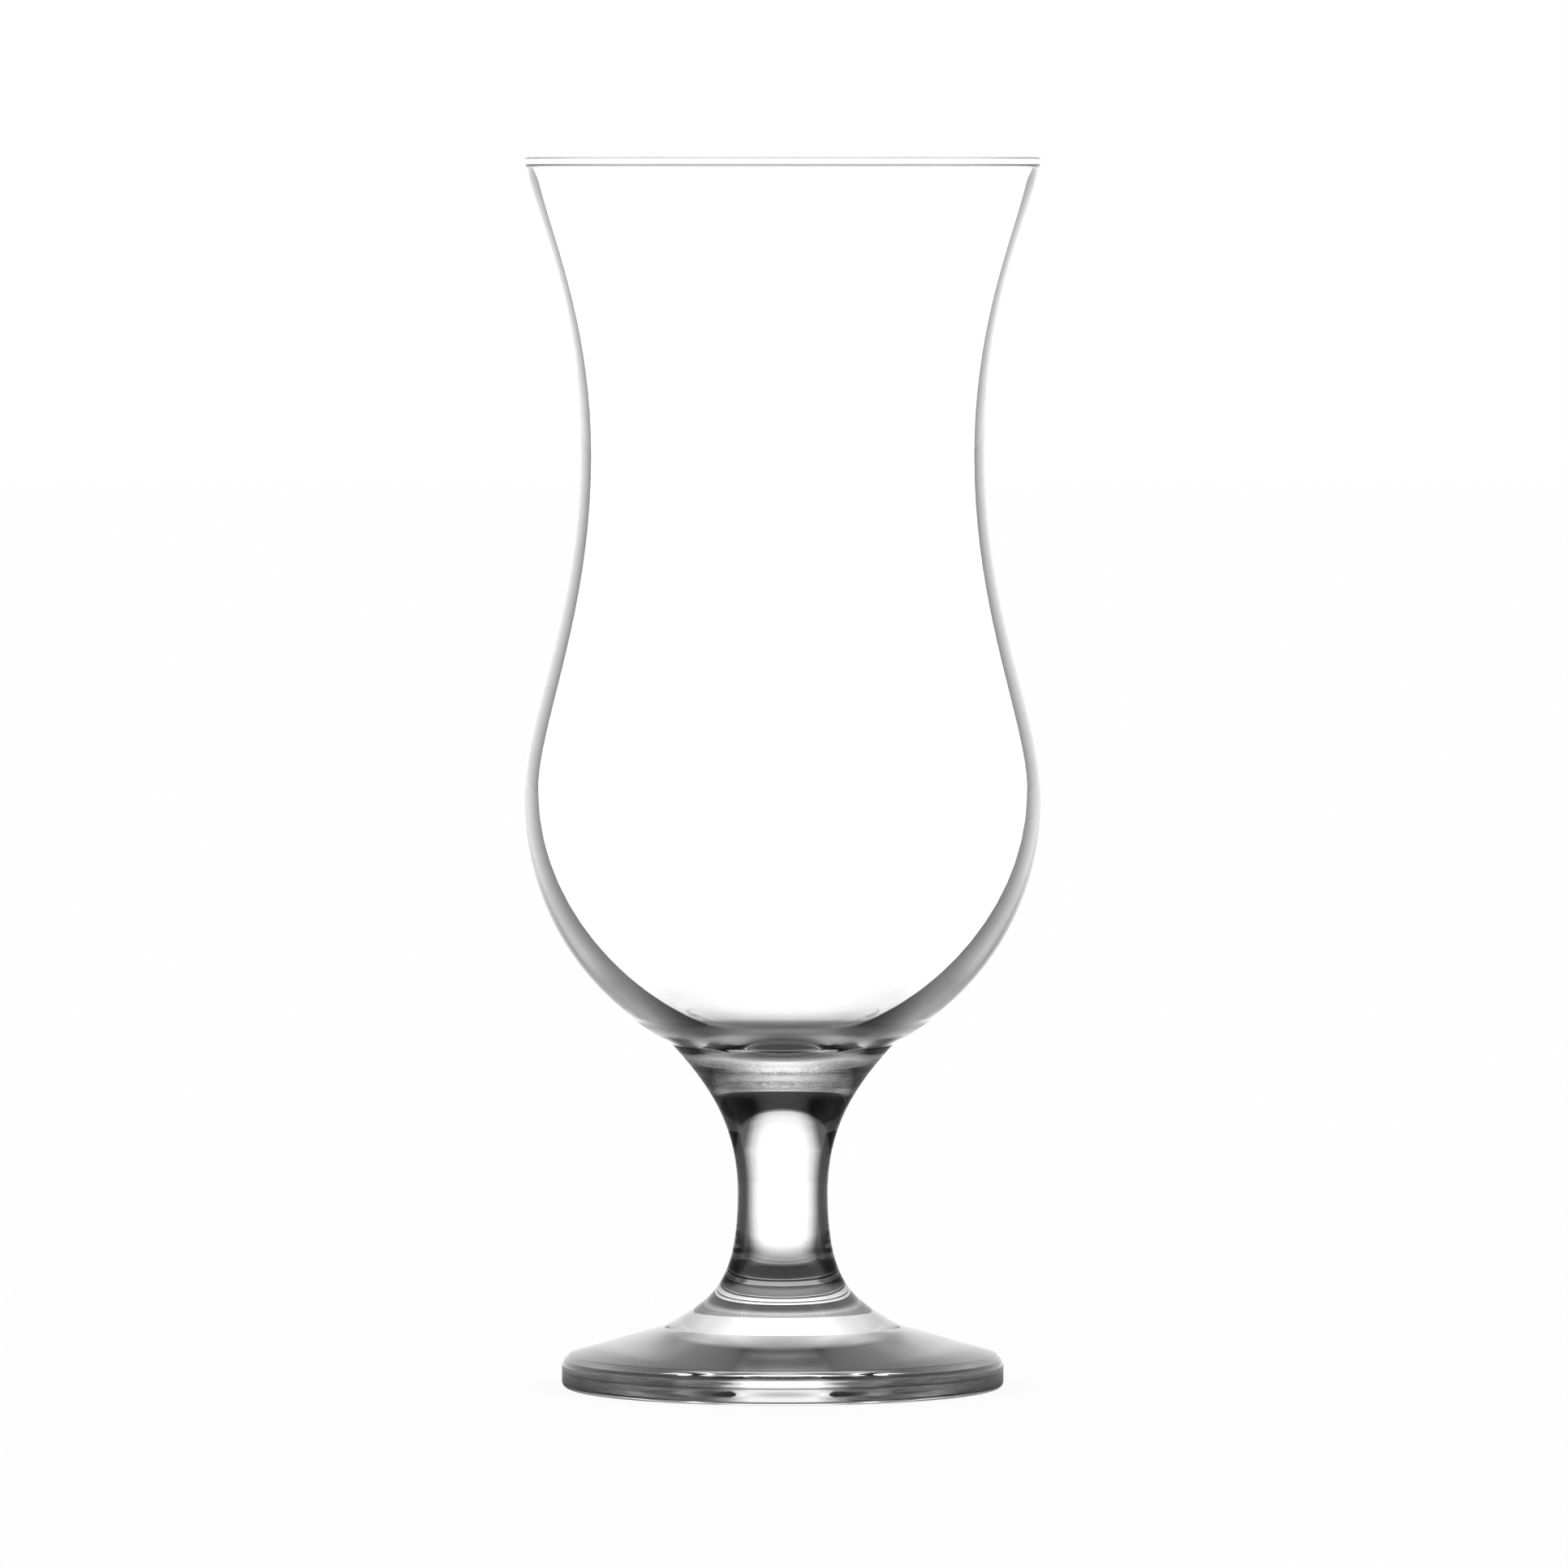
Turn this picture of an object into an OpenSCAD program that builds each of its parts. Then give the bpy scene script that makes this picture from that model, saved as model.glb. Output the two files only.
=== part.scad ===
// Hurricane glass: a tall footed drinking glass with a waisted, flared bowl,
// a short solid stem and a low conical foot. It is made of three gathers of clear
// glass: a blown bowl, a pressed stem and a pressed foot, fused hot at two flat faces.
// Millimetres, +Z up, origin at the centre of the plane that the foot rests on.

/* [Bowl outside] */
// Height of the bowl, from its fused face on the stem to the rim
bowl_h = 138.7; // [130:0.1:152]
// Outer diameter over the rounded rim
rim_d = 79.7; // [74:0.1:86]
// Outer diameter at the waist
waist_d = 62.4; // [56:0.1:68]
// Height of the waist above the stem
waist_h = 94.2; // [88:0.1:100]
// Outer diameter of the belly, the widest part
belly_d = 80; // [74:0.1:88]
// Height of the belly above the stem
belly_h = 39.7; // [36:0.1:44]
// Lean of the wall at the rim, in degrees from upright
rim_lean = 10; // [4:0.5:16]
// Lean of the bowl's underside above the crease, in degrees from upright
under_lean = 61; // [55:0.5:66]
// Diameter at the crease, where the bowl's underside turns into the flare of the stem
crease_d = 34.2; // [32.5:0.1:36.5]
// Height of the crease above the fused face
crease_h = 1.8; // [1.4:0.1:2.6]

/* [Bowl inside] */
// Wall at the rim, which is fire-polished to a full round
rim_wall = 1.15; // [0.9:0.05:1.8]
// Wall at the waist
waist_wall = 1.65; // [1.2:0.05:2.4]
// Wall at the belly
belly_wall = 2.2; // [1.6:0.05:3.2]
// Height of the narrowest inside below the narrowest outside
inner_waist_drop = 1.6; // [0:0.1:3]
// Height of the widest inside above the widest outside
inner_belly_rise = 1.1; // [0:0.1:2]
// Glass between the fused face and the lowest point inside
floor_t = 1.9; // [1.4:0.1:3]

/* [Stem] */
// Length of the stem piece, between its two fused faces
stem_h = 39.5; // [35:0.1:46]
// Diameter of the fused face under the bowl
bowl_joint_d = 31; // [29:0.1:32]
// Lean of the stem's side at that face, in degrees from upright
bowl_joint_lean = 41; // [36:0.5:46]
// Diameter of the stem at its slimmest
stem_d = 13.9; // [11:0.1:17]
// Height of the slimmest place above the foot piece
stem_neck_h = 18.2; // [15:0.2:21]

/* [Foot] */
// Diameter of the foot
foot_d = 68.3; // [62:0.1:76]
// Height of the foot piece, from the table to its fused face
foot_h = 11.8; // [10.5:0.1:14]
// Diameter of the fused face between the stem and the foot
foot_joint_d = 28.6; // [26:0.1:31]
// Lean of the surface at that face, in degrees from upright
foot_joint_lean = 56; // [50:0.5:62]
// Diameter at the foot of the steep shoulder, where the flatter cone starts
shoulder_d = 36.6; // [34:0.1:40]
// Slope of the shoulder where it meets the cone, in degrees from level
shoulder_slope = 33.5; // [28:0.5:38]
// Height at which the foot's top meets its rounded edge
edge_h = 5.3; // [4.4:0.1:6]
// Slope of the cone, from the shoulder to the edge, in degrees from level
edge_slope = 16; // [14:0.1:18]
// Radius of the edge's upper corner
edge_top_r = 1.9; // [1:0.1:2.4]
// Radius of the edge's lower corner
edge_low_r = 1; // [0.6:0.1:1.6]
// Width of the flat ring that the glass stands on
bearing_w = 2; // [1.2:0.1:5]
// Depth of the shallow hollow pressed into the underside
hollow_depth = 3.2; // [1:0.1:4.2]

/* [Hidden] */

// Straight steps in one curved stretch of a profile
curve_steps = 18;
// Straight steps in a rounded corner
corner_steps = 6;
// Sides of a full turn
turn_fn = 128;
// Clear glass with a slight grey
glass_colour = [0.86, 0.9, 0.9, 0.45];
// The same glass, a little deeper where it is thick
thick_glass_colour = [0.72, 0.78, 0.78, 0.6];

// Height and width of the small fillet above the crease
fillet_h = 0.5;
fillet_w = 0.7;

// Lengths of the curves' handles, as shares of the height or width that each stretch spans
fillet_low_share = 0.4;
fillet_top_share = 0.3;
under_low_share = 0.42;
under_top_share = 0.43;
side_low_share = 0.24;
side_top_share = 0.49;
flare_low_share = 0.53;
flare_top_share = 0.21;
inner_floor_share = 0.456;
inner_under_share = 0.593;
inner_side_low_share = 0.2;
inner_side_top_share = 0.475;
inner_flare_low_share = 0.5;
inner_flare_top_share = 0.08;
stem_top_share = 0.374;
stem_upper_share = 0.424;
stem_lower_share = 0.72;
stem_low_share = 0.24;
shoulder_in_share = 0.35;
shoulder_out_share = 0.35;
hollow_in_share = 0.85;
hollow_out_share = 0.36;

// A step of length l from upright, leaning outwards by the given angle
function leaning(l, lean) = l * [sin(lean), cos(lean)];

// Points of a cubic curve from a to d, steered by b and c, without its first point
function curve(a, b, c, d) =
    [for (i = [1 : curve_steps]) let (t = i / curve_steps, u = 1 - t)
        pow(u, 3) * a + 3 * u * u * t * b + 3 * u * t * t * c + pow(t, 3) * d];

// Points of an arc about a centre, without its first point
function arc(centre, r, from, to) =
    [for (i = [1 : corner_steps]) let (angle = from + (to - from) * i / corner_steps)
        centre + r * [cos(angle), sin(angle)]];

// The rounded rim, with the points where the outside and the inside run into it
rim_centre = [(rim_d - rim_wall) / 2, bowl_h - rim_wall / 2];
rim_outside = rim_centre + rim_wall / 2 * [cos(rim_lean), -sin(rim_lean)];
rim_inside = rim_centre - rim_wall / 2 * [cos(rim_lean), -sin(rim_lean)];

// Outside of the bowl, from the fused face over the crease up to the rim
function bowl_outside() =
    let (
        joint = [bowl_joint_d / 2, 0],
        crease = [crease_d / 2, crease_h],
        fillet = crease + [fillet_w, fillet_h],
        belly = [belly_d / 2, belly_h],
        waist = [waist_d / 2, waist_h],
        under = belly_h - fillet[1],
        side = waist_h - belly_h,
        flare = bowl_h - waist_h
    )
    concat(
        [joint, crease],
        curve(crease,
            crease + leaning(fillet_low_share * fillet_h, bowl_joint_lean),
            fillet - leaning(fillet_top_share * fillet_h, under_lean),
            fillet),
        curve(fillet,
            fillet + leaning(under_low_share * under, under_lean),
            belly - [0, under_top_share * under],
            belly),
        curve(belly,
            belly + [0, side_low_share * side],
            waist - [0, side_top_share * side],
            waist),
        curve(waist,
            waist + [0, flare_low_share * flare],
            rim_outside - leaning(flare_top_share * flare, rim_lean),
            rim_outside)
    );

// Inside of the bowl, from the rim down to the middle of the floor
function bowl_inside() =
    let (
        waist = [waist_d / 2 - waist_wall, waist_h - inner_waist_drop],
        belly = [belly_d / 2 - belly_wall, belly_h + inner_belly_rise],
        middle = [0, floor_t],
        flare = bowl_h - waist[1],
        side = waist[1] - belly[1],
        depth = belly[1] - floor_t
    )
    concat(
        curve(rim_inside,
            rim_inside - leaning(inner_flare_top_share * flare, rim_lean),
            waist + [0, inner_flare_low_share * flare],
            waist),
        curve(waist,
            waist - [0, inner_side_top_share * side],
            belly + [0, inner_side_low_share * side],
            belly),
        curve(belly,
            belly - [0, inner_under_share * depth],
            middle + [inner_floor_share * belly[0], 0],
            middle)
    );

// Side of the stem, from the foot up to the bowl
function stem_side() =
    let (
        low = [foot_joint_d / 2, 0],
        neck = [stem_d / 2, stem_neck_h],
        top = [bowl_joint_d / 2, stem_h],
        upper = stem_h - stem_neck_h
    )
    concat(
        [low],
        curve(low,
            low + leaning(stem_low_share * stem_neck_h, -foot_joint_lean),
            neck - [0, stem_lower_share * stem_neck_h],
            neck),
        curve(neck,
            neck + [0, stem_upper_share * upper],
            top - leaning(stem_top_share * upper, bowl_joint_lean),
            top)
    );

// Outside of the foot, from the fused face over the edge to the bearing ring
function foot_outside() =
    let (
        joint = [foot_joint_d / 2, foot_h],
        side_r = foot_d / 2,
        top_centre = [side_r - edge_top_r, edge_h - edge_top_r],
        low_centre = [side_r - edge_low_r, edge_low_r],
        edge = top_centre + edge_top_r * [sin(edge_slope), cos(edge_slope)],
        shoulder = [shoulder_d / 2, edge[1] + (edge[0] - shoulder_d / 2) * tan(edge_slope)],
        span = shoulder[0] - joint[0]
    )
    concat(
        [joint],
        curve(joint,
            joint + shoulder_in_share * span * [sin(foot_joint_lean), -cos(foot_joint_lean)],
            shoulder + shoulder_out_share * span * [-cos(shoulder_slope), sin(shoulder_slope)],
            shoulder),
        [edge],
        arc(top_centre, edge_top_r, 90 - edge_slope, 0),
        [low_centre + [edge_low_r, 0]],
        arc(low_centre, edge_low_r, 0, -90)
    );

// Underside of the foot, from the bearing ring's inner edge to the middle
function foot_hollow() =
    let (
        ring = [foot_d / 2 - edge_low_r - bearing_w, 0],
        middle = [0, hollow_depth]
    )
    concat(
        [ring],
        curve(ring,
            ring - [hollow_out_share * ring[0], 0],
            middle + [hollow_in_share * ring[0], 0],
            middle)
    );

// Blown bowl, one wall from the rim to its rounded bottom
module bowl() {
    color(glass_colour)
    translate([0, 0, foot_h + stem_h])
    rotate_extrude($fn = turn_fn)
    polygon(concat(
        bowl_outside(),
        arc(rim_centre, rim_wall / 2, -rim_lean, 90),
        arc(rim_centre, rim_wall / 2, 90, 180 - rim_lean),
        bowl_inside(),
        [[0, 0]]
    ));
}

// Solid stem, flared at both ends
module stem() {
    color(thick_glass_colour)
    translate([0, 0, foot_h])
    rotate_extrude($fn = turn_fn)
    polygon(concat([[0, 0]], stem_side(), [[0, stem_h]]));
}

// Foot with a conical top, a rounded edge and a shallow hollow beneath
module foot() {
    color(thick_glass_colour)
    rotate_extrude($fn = turn_fn)
    polygon(concat([[0, foot_h]], foot_outside(), foot_hollow()));
}

bowl();
stem();
foot();
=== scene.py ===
# %% [markdown]
# # A hurricane glass in clear soda-lime glass
# The glass is a body of revolution in three gathers that were fused hot: a blown bowl, a
# pressed stem and a pressed foot. Each one is drawn as half of its outline and turned on a
# lathe. What makes it look like glass is not its own colour, which is nearly none, but what
# it bends into view: a bright wall behind it and darkness above it. The darkness beside it
# is painted shade, given as tints of the glass.

# %% Load the measured model
import math
import bmesh
import bpy
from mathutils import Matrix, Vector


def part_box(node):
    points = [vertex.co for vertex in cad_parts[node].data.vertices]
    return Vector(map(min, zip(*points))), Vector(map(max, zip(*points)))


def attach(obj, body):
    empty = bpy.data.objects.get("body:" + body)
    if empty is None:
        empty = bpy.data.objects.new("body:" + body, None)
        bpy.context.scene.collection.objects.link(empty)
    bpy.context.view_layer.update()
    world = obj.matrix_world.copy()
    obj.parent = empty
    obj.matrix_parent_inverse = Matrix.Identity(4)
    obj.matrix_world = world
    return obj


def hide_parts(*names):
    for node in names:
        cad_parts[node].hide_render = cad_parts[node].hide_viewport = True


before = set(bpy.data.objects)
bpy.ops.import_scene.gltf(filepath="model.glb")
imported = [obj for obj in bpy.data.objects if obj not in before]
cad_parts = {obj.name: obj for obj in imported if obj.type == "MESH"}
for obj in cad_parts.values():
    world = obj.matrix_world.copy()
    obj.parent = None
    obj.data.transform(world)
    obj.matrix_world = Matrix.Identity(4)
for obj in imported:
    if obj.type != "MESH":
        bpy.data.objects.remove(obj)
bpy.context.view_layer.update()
MM = 0.001

# %% [markdown]
# ## The driving sizes
# The overall sizes come from the measured model, so the looks can't drift from it: the
# heights where the gathers meet, the diameters of the rim, the belly and the foot. The sizes
# that a bounding box doesn't show, such as the waist, are repeated in millimetres.

# %% Sizes taken from the model
bowl_low, bowl_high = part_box("bowl")
stem_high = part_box("stem")[1]
foot_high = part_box("foot")[1]
FOOT_H = foot_high[2] / MM
BOWL_BASE = bowl_low[2] / MM
RIM_TOP = bowl_high[2] / MM
BELLY_R = bowl_high[0] / MM
FOOT_R = foot_high[0] / MM
BOWL_JOINT_R = stem_high[0] / MM
BOWL_H = RIM_TOP - BOWL_BASE
STEM_H = BOWL_BASE - FOOT_H
print("foot to", round(FOOT_H, 2), "stem to", round(BOWL_BASE, 2), "rim at", round(RIM_TOP, 2))

# %% Sizes of the bowl that a box doesn't show, in millimetres and degrees
RIM_R, RIM_WALL, RIM_LEAN = 39.85, 1.15, 10
BEAD_R, BEAD_START, BEAD_END, BEAD_HANDLE = 0.65, -38, 208, 0.2
NECK_DROP, NECK_IN, NECK_THINNER = 1.55, 0.33, 0.2
WAIST_R, WAIST_H, WAIST_WALL, INNER_WAIST_DROP = 31.2, 94.2, 1.65, 1.6
BELLY_H, BELLY_WALL, INNER_BELLY_RISE = 39.7, 2.2, 1.1
UNDER_LEAN = 61
FLOOR_T = 1.9
CREASE_R, CREASE_H = 17.1, 1.8
FILLET_W, FILLET_H, BOWL_JOINT_LEAN = 0.7, 0.5, 41
print("the wall goes from", RIM_WALL, "mm at the rim to", BELLY_WALL, "mm at the belly")

# %% Sizes of the stem and the foot, in millimetres and degrees
STEM_R, STEM_NECK_H = 6.95, 18.2
FOOT_JOINT_R, FOOT_JOINT_LEAN = 14.3, 56
SHOULDER_R, SHOULDER_SLOPE = 18.3, 33.5
EDGE_H, EDGE_SLOPE, EDGE_TOP_R, EDGE_LOW_R = 5.3, 16, 1.9, 1.0
BEARING_W, HOLLOW_DEPTH = 2.0, 3.2
print("the stem is", 2 * STEM_R, "mm at its slimmest, the hollow", HOLLOW_DEPTH, "mm deep")

# %% [markdown]
# ## Half outlines as Bezier curves
# A glassmaker's outline is a few long, even curves, so it is drawn with Bezier points and
# handles: each point says where the wall is, and its handles say which way it leans there and
# how long it keeps that lean. Blender then samples the curve finely, which keeps reflections
# free of kinks. A point is written as (place, handle before, handle after).


# %% Helpers that write Bezier points
def leaning(length, lean):
    """A step that leans outwards from upright by an angle in degrees."""
    angle = math.radians(lean)
    return (length * math.sin(angle), length * math.cos(angle))


def moved(point, step, times=1.0):
    return (point[0] + times * step[0], point[1] + times * step[1])


def knot(place, before=None, after=None):
    return (place, before or place, after or place)


def rounded(centre, radius, start, end):
    """The two ends of a circular arc as Bezier points.

    Handles of 4/3 of the tangent of a quarter of the turn make a Bezier curve round.
    """
    turn = math.radians(end - start)
    reach = 4 / 3 * math.tan(turn / 4) * radius
    ends = []
    for angle in (math.radians(start), math.radians(end)):
        place = moved(centre, (math.cos(angle), math.sin(angle)), radius)
        ends.append((place, (-math.sin(angle) * reach, math.cos(angle) * reach)))
    (first, first_step), (last, last_step) = ends
    return knot(first, after=moved(first, first_step)), knot(last, before=moved(last, last_step, -1))


print("a quarter arc of 1 mm has handles of", round(rounded((0, 0), 1, 0, 90)[0][2][1], 3), "mm")

# %% [markdown]
# ## The bowl's outline
# The outside climbs from the fused face over a small crease, swells into the belly, draws in
# at the waist and flares to the rim. It could be traced as hundreds of points, but then every
# small error would show as a ripple in the glass. Five points with shared tangents stay even.

# %% The outside, from the axis to the top of the rim
# The handles' lengths are shares of the stretch that each one shapes.
FILLET_LOW_SHARE, FILLET_TOP_SHARE = 0.4, 0.3
UNDER_LOW_SHARE, UNDER_TOP_SHARE = 0.42, 0.43
SIDE_LOW_SHARE, SIDE_TOP_SHARE = 0.24, 0.49
FLARE_LOW_SHARE, FLARE_TOP_SHARE = 0.53, 0.2
BEAD_CENTRE = (RIM_R - BEAD_R, BOWL_H - BEAD_R)


def bowl_outside():
    fillet = moved((CREASE_R, CREASE_H), (FILLET_W, FILLET_H))
    under, side, flare = BELLY_H - fillet[1], WAIST_H - BELLY_H, BOWL_H - WAIST_H
    crease_step = leaning(FILLET_LOW_SHARE * FILLET_H, BOWL_JOINT_LEAN)
    neck = (RIM_R - NECK_IN, BOWL_H - NECK_DROP)
    bead, bead_top = rounded(BEAD_CENTRE, BEAD_R, BEAD_START, 90)
    return [
        knot((0, 0)),
        knot((BOWL_JOINT_R, 0)),
        knot((CREASE_R, CREASE_H), after=moved((CREASE_R, CREASE_H), crease_step)),
        knot(fillet, moved(fillet, leaning(FILLET_TOP_SHARE * FILLET_H, UNDER_LEAN), -1),
             moved(fillet, leaning(UNDER_LOW_SHARE * under, UNDER_LEAN))),
        knot((BELLY_R, BELLY_H), (BELLY_R, BELLY_H - UNDER_TOP_SHARE * under),
             (BELLY_R, BELLY_H + SIDE_LOW_SHARE * side)),
        knot((WAIST_R, WAIST_H), (WAIST_R, WAIST_H - SIDE_TOP_SHARE * side),
             (WAIST_R, WAIST_H + FLARE_LOW_SHARE * flare)),
        knot(neck, moved(neck, leaning(FLARE_TOP_SHARE * flare, RIM_LEAN), -1),
             moved(neck, leaning(BEAD_HANDLE, RIM_LEAN))),
        knot(bead[0], moved(bead[0], leaning(BEAD_HANDLE, -BEAD_START), -1), bead[2]),
        bead_top,
    ]


print("the outside has", len(bowl_outside()), "points")

# %% [markdown]
# ## The inside, and the bead of the rim
# The cut rim is melted in a flame, and the soft glass draws itself into a bead that is a
# little thicker than the wall under it. From there the inside comes down with a wall that
# thickens to the belly, and it ends in a rounded bottom close above the fused face. It is no
# parallel copy of the outside: its waist lies lower and its belly higher, as blowing leaves it.

# %% The inside, from the top of the rim down to the axis
INNER_FLARE_LOW_SHARE, INNER_FLARE_TOP_SHARE = 0.5, 0.08
INNER_SIDE_LOW_SHARE, INNER_SIDE_TOP_SHARE = 0.2, 0.475
INNER_UNDER_SHARE, INNER_FLOOR_SHARE = 0.593, 0.456


def bowl_inside():
    waist = (WAIST_R - WAIST_WALL, WAIST_H - INNER_WAIST_DROP)
    belly = (BELLY_R - BELLY_WALL, BELLY_H + INNER_BELLY_RISE)
    flare, side, depth = BOWL_H - waist[1], waist[1] - belly[1], belly[1] - FLOOR_T
    neck = (RIM_R - NECK_IN - RIM_WALL + NECK_THINNER, BOWL_H - NECK_DROP)
    bead_top, bead = rounded(BEAD_CENTRE, BEAD_R, 90, BEAD_END)
    return [
        bead_top,
        knot(bead[0], bead[1], moved(bead[0], leaning(BEAD_HANDLE, 180 - BEAD_END), -1)),
        knot(neck, moved(neck, leaning(BEAD_HANDLE, RIM_LEAN)),
             moved(neck, leaning(INNER_FLARE_TOP_SHARE * flare, RIM_LEAN), -1)),
        knot(waist, moved(waist, (0, INNER_FLARE_LOW_SHARE * flare)),
             moved(waist, (0, -INNER_SIDE_TOP_SHARE * side))),
        knot(belly, moved(belly, (0, INNER_SIDE_LOW_SHARE * side)),
             moved(belly, (0, -INNER_UNDER_SHARE * depth))),
        knot((0, FLOOR_T), (INNER_FLOOR_SHARE * belly[0], FLOOR_T)),
    ]


def bowl_outline():
    """Both sides joined at the top of the bead, where one arc hands over to the other."""
    outside, inside = bowl_outside(), bowl_inside()
    top = knot(outside[-1][0], outside[-1][1], inside[0][2])
    return outside[:-1] + [top] + inside[1:]


print("the bowl's half outline has", len(bowl_outline()), "points")

# %% [markdown]
# ## The stem's outline
# The stem is pressed solid in a mould. Its side is one hollow curve that is slimmest a little
# below the middle and leans out at both ends, to meet the bowl and the foot without a step.

# %% Stem outline
STEM_LOW_SHARE, STEM_LOWER_SHARE = 0.24, 0.72
STEM_UPPER_SHARE, STEM_TOP_SHARE = 0.424, 0.374


def stem_outline():
    low, top = (FOOT_JOINT_R, 0), (BOWL_JOINT_R, STEM_H)
    upper = STEM_H - STEM_NECK_H
    return [
        knot((0, 0)),
        knot(low, after=moved(low, leaning(STEM_LOW_SHARE * STEM_NECK_H, -FOOT_JOINT_LEAN))),
        knot((STEM_R, STEM_NECK_H), (STEM_R, STEM_NECK_H - STEM_LOWER_SHARE * STEM_NECK_H),
             (STEM_R, STEM_NECK_H + STEM_UPPER_SHARE * upper)),
        knot(top, moved(top, leaning(STEM_TOP_SHARE * upper, BOWL_JOINT_LEAN), -1)),
        knot((0, STEM_H)),
    ]


print("the stem's half outline has", len(stem_outline()), "points")

# %% [markdown]
# ## The foot's outline
# The foot has a steep shoulder that turns into an even slope, and a rounded edge. It stands
# on a narrow flat ring: a foot that is pressed in a little underneath can't rock on a table.

# %% Foot outline
SHOULDER_IN_SHARE, SHOULDER_OUT_SHARE = 0.35, 0.35
HOLLOW_OUT_SHARE, HOLLOW_IN_SHARE = 0.36, 0.85


def foot_outline():
    joint = (FOOT_JOINT_R, FOOT_H)
    turn = SHOULDER_R - FOOT_JOINT_R
    edge, side_top = rounded((FOOT_R - EDGE_TOP_R, EDGE_H - EDGE_TOP_R), EDGE_TOP_R,
                             90 - EDGE_SLOPE, 0)
    side_low, ring = rounded((FOOT_R - EDGE_LOW_R, EDGE_LOW_R), EDGE_LOW_R, 0, -90)
    rise = (edge[0][0] - SHOULDER_R) * math.tan(math.radians(EDGE_SLOPE))
    shoulder = (SHOULDER_R, edge[0][1] + rise)
    ring_in = FOOT_R - EDGE_LOW_R - BEARING_W
    return [
        knot((0, FOOT_H)),
        knot(joint, after=moved(joint, leaning(SHOULDER_IN_SHARE * turn, 180 - FOOT_JOINT_LEAN))),
        knot(shoulder, moved(shoulder, leaning(SHOULDER_OUT_SHARE * turn, 90 + SHOULDER_SLOPE), -1)),
        edge,
        side_top,
        side_low,
        ring,
        knot((ring_in, 0), after=(ring_in * (1 - HOLLOW_OUT_SHARE), 0)),
        knot((0, HOLLOW_DEPTH), (ring_in * HOLLOW_IN_SHARE, HOLLOW_DEPTH)),
    ]


print("the foot's half outline has", len(foot_outline()), "points")

# %% [markdown]
# ## Turning an outline on the lathe
# The Bezier outline becomes a chain of short edges, and bmesh's spin sweeps it once round the
# axis, as a lathe would. A curve object with a bevel could do the same, but spin leaves an
# open mesh that can be cleaned and painted face by face. The points on the axis fall together
# there, so doubles are merged before the normals are worked out.

# %% The chain of edges
CURVE_STEPS = 20


def outline_mesh(name, points, base):
    """The half outline as a mesh of edges in the plane y = 0, in metres."""
    curve = bpy.data.curves.new(name, "CURVE")
    curve.dimensions = "3D"
    curve.resolution_u = CURVE_STEPS
    spline = curve.splines.new("BEZIER")
    spline.bezier_points.add(len(points) - 1)
    for bezier, (place, before, after) in zip(spline.bezier_points, points):
        bezier.co = (place[0] * MM, 0, (base + place[1]) * MM)
        bezier.handle_left = (before[0] * MM, 0, (base + before[1]) * MM)
        bezier.handle_right = (after[0] * MM, 0, (base + after[1]) * MM)
    holder = bpy.data.objects.new(name, curve)
    mesh = bpy.data.meshes.new_from_object(holder)
    bpy.data.objects.remove(holder)
    bpy.data.curves.remove(curve)
    return mesh


print("an outline gets", CURVE_STEPS, "short edges for each stretch between two points")

# %% The lathe
TURN_STEPS = 160
SHARP_ANGLE = math.radians(12)
MERGE_GAP, SLIVER = 0.002 * MM, 0.001 * MM
CUBIC_CM = 0.01 ** 3


def turned(edges):
    """The closed solid that a chain of edges sweeps in one turn."""
    shape = bmesh.new()
    shape.from_mesh(edges)
    bmesh.ops.remove_doubles(shape, verts=shape.verts[:], dist=MERGE_GAP)
    bmesh.ops.spin(shape, geom=shape.verts[:] + shape.edges[:], cent=(0, 0, 0), axis=(0, 0, 1),
                   dvec=(0, 0, 0), angle=2 * math.pi, steps=TURN_STEPS, use_merge=True)
    bmesh.ops.remove_doubles(shape, verts=shape.verts[:], dist=MERGE_GAP)
    bmesh.ops.dissolve_degenerate(shape, edges=shape.edges[:], dist=SLIVER)
    bmesh.ops.recalc_face_normals(shape, faces=shape.faces[:])
    return shape


def lathe(name, points, base, finishes, pick):
    """Turns an outline into a piece; pick names the finish of each face by its place."""
    edges = outline_mesh(name, points, base)
    shape = turned(edges)
    bpy.data.meshes.remove(edges)
    slots = list(finishes)
    for face in shape.faces:
        centre, normal = face.calc_center_median(), face.normal
        outwards = normal.x * centre.x + normal.y * centre.y > 0
        face.smooth = True
        face.material_index = slots.index(pick(centre.z / MM - base, normal.z, outwards))
    for edge in shape.edges:
        edge.smooth = edge.calc_face_angle(0) < SHARP_ANGLE
    open_edges = sum(1 for edge in shape.edges if not edge.is_manifold)
    volume = shape.calc_volume() / CUBIC_CM
    mesh = bpy.data.meshes.new(name)
    shape.to_mesh(mesh)
    shape.free()
    for material in finishes.values():
        mesh.materials.append(material)
    piece = bpy.data.objects.new(name, mesh)
    bpy.context.scene.collection.objects.link(piece)
    print(name, len(mesh.polygons), "faces,", open_edges, "open edges,", round(volume, 2), "cubic cm")
    return piece


print("one step of the lathe turns by", 360 / TURN_STEPS, "degrees")

# %% [markdown]
# ## Building materials from nodes
# Colours are written as hex values, and one function turns them linear. One more function
# adds any node: it takes the node's settings, its inputs, which may be plain values or other
# nodes' sockets, and for a colour ramp the stops as pairs of place and grey level.


# %% Colour and node helpers
def linear(hex_value):
    """An sRGB hex colour as linear red, green, blue and alpha."""
    parts = [int(hex_value[i:i + 2], 16) / 255 for i in (1, 3, 5)]
    return tuple(v / 12.92 if v <= 0.04045 else ((v + 0.055) / 1.055) ** 2.4 for v in parts) + (1.0,)


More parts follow.
